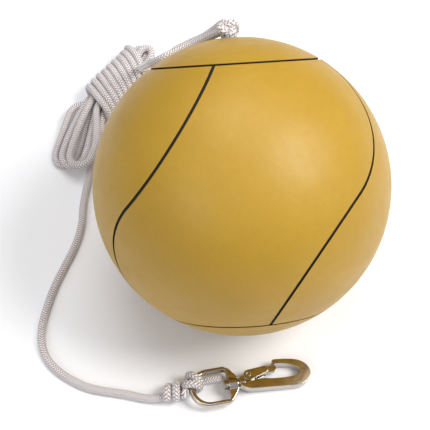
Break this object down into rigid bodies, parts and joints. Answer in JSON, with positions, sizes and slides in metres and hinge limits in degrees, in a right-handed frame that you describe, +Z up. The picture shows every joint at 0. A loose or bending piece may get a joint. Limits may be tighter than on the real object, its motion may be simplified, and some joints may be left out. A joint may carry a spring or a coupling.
{
  "type": "tetherball set",
  "caption": "Yellow rubber game ball with wavy black channels, tied to a hank of white braided rope that ends in a swivel-eye snap hook.",
  "frame": {"origin": "the ball's lowest point, where it stands on the ground", "axes": "+Z up; +X out of the valve's needle bore; the hook lies towards -Y and the hank of rope towards +Y and -X"},
  "size_m": [0.2686, 0.3495, 0.215],
  "materials": {
    "ball_panels": "satin pebbled yellow rubber",
    "carcass_rubber": "black rubber",
    "winding_nylon": "wound nylon thread",
    "bladder_rubber": "matte butyl",
    "anchor_rubber": "black moulded rubber",
    "valve_rubber": "soft black rubber",
    "pin_steel": "plain steel",
    "rope_nylon": "white braided nylon",
    "hook_nickel": "bright nickel plating",
    "spring_steel": "blued spring steel"
  },
  "bodies": {
    "root": {"bladder": "bladder_rubber", "winding_layer": "winding_nylon", "carcass": "carcass_rubber", "top_panel": "ball_panels", "bottom_panel": "ball_panels", "side_panel_1": "ball_panels", "side_panel_2": "ball_panels", "side_panel_3": "ball_panels", "side_panel_4": "ball_panels", "valve_seat": "valve_rubber", "valve_plug": "valve_rubber", "anchor_cup": "anchor_rubber", "anchor_pin": "pin_steel", "ball_knot": "rope_nylon", "ball_tail": "rope_nylon", "rope_lead": "rope_nylon", "rope_hank": "rope_nylon", "rope_run": "rope_nylon", "eye_turn": "rope_nylon", "hook_knot": "rope_nylon", "hook_tail": "rope_nylon", "swivel_eye": "hook_nickel"},
    "hook": {"hook_body": "hook_nickel", "gate_pin": "hook_nickel", "gate_spring": "spring_steel"},
    "gate": {"gate": "hook_nickel"}
  },
  "joints": [
    {"name": "swivel_turn", "type": "hinge", "parent": "root", "child": "hook", "pos_m": [0, -0.113, 0.0081], "axis": [0.9758, 0.2074, -0.0698], "continuous": true},
    {"name": "gate_open", "type": "hinge", "parent": "hook", "child": "gate", "pos_m": [0.00624, -0.10779, 0.0076], "axis": [-0.0682, -0.0145, -0.9976], "range_deg": [0, 15], "stiffness_Nm_per_rad": 0.06, "springref_deg": -17.19, "deforming": ["gate_spring"]}
  ]
}
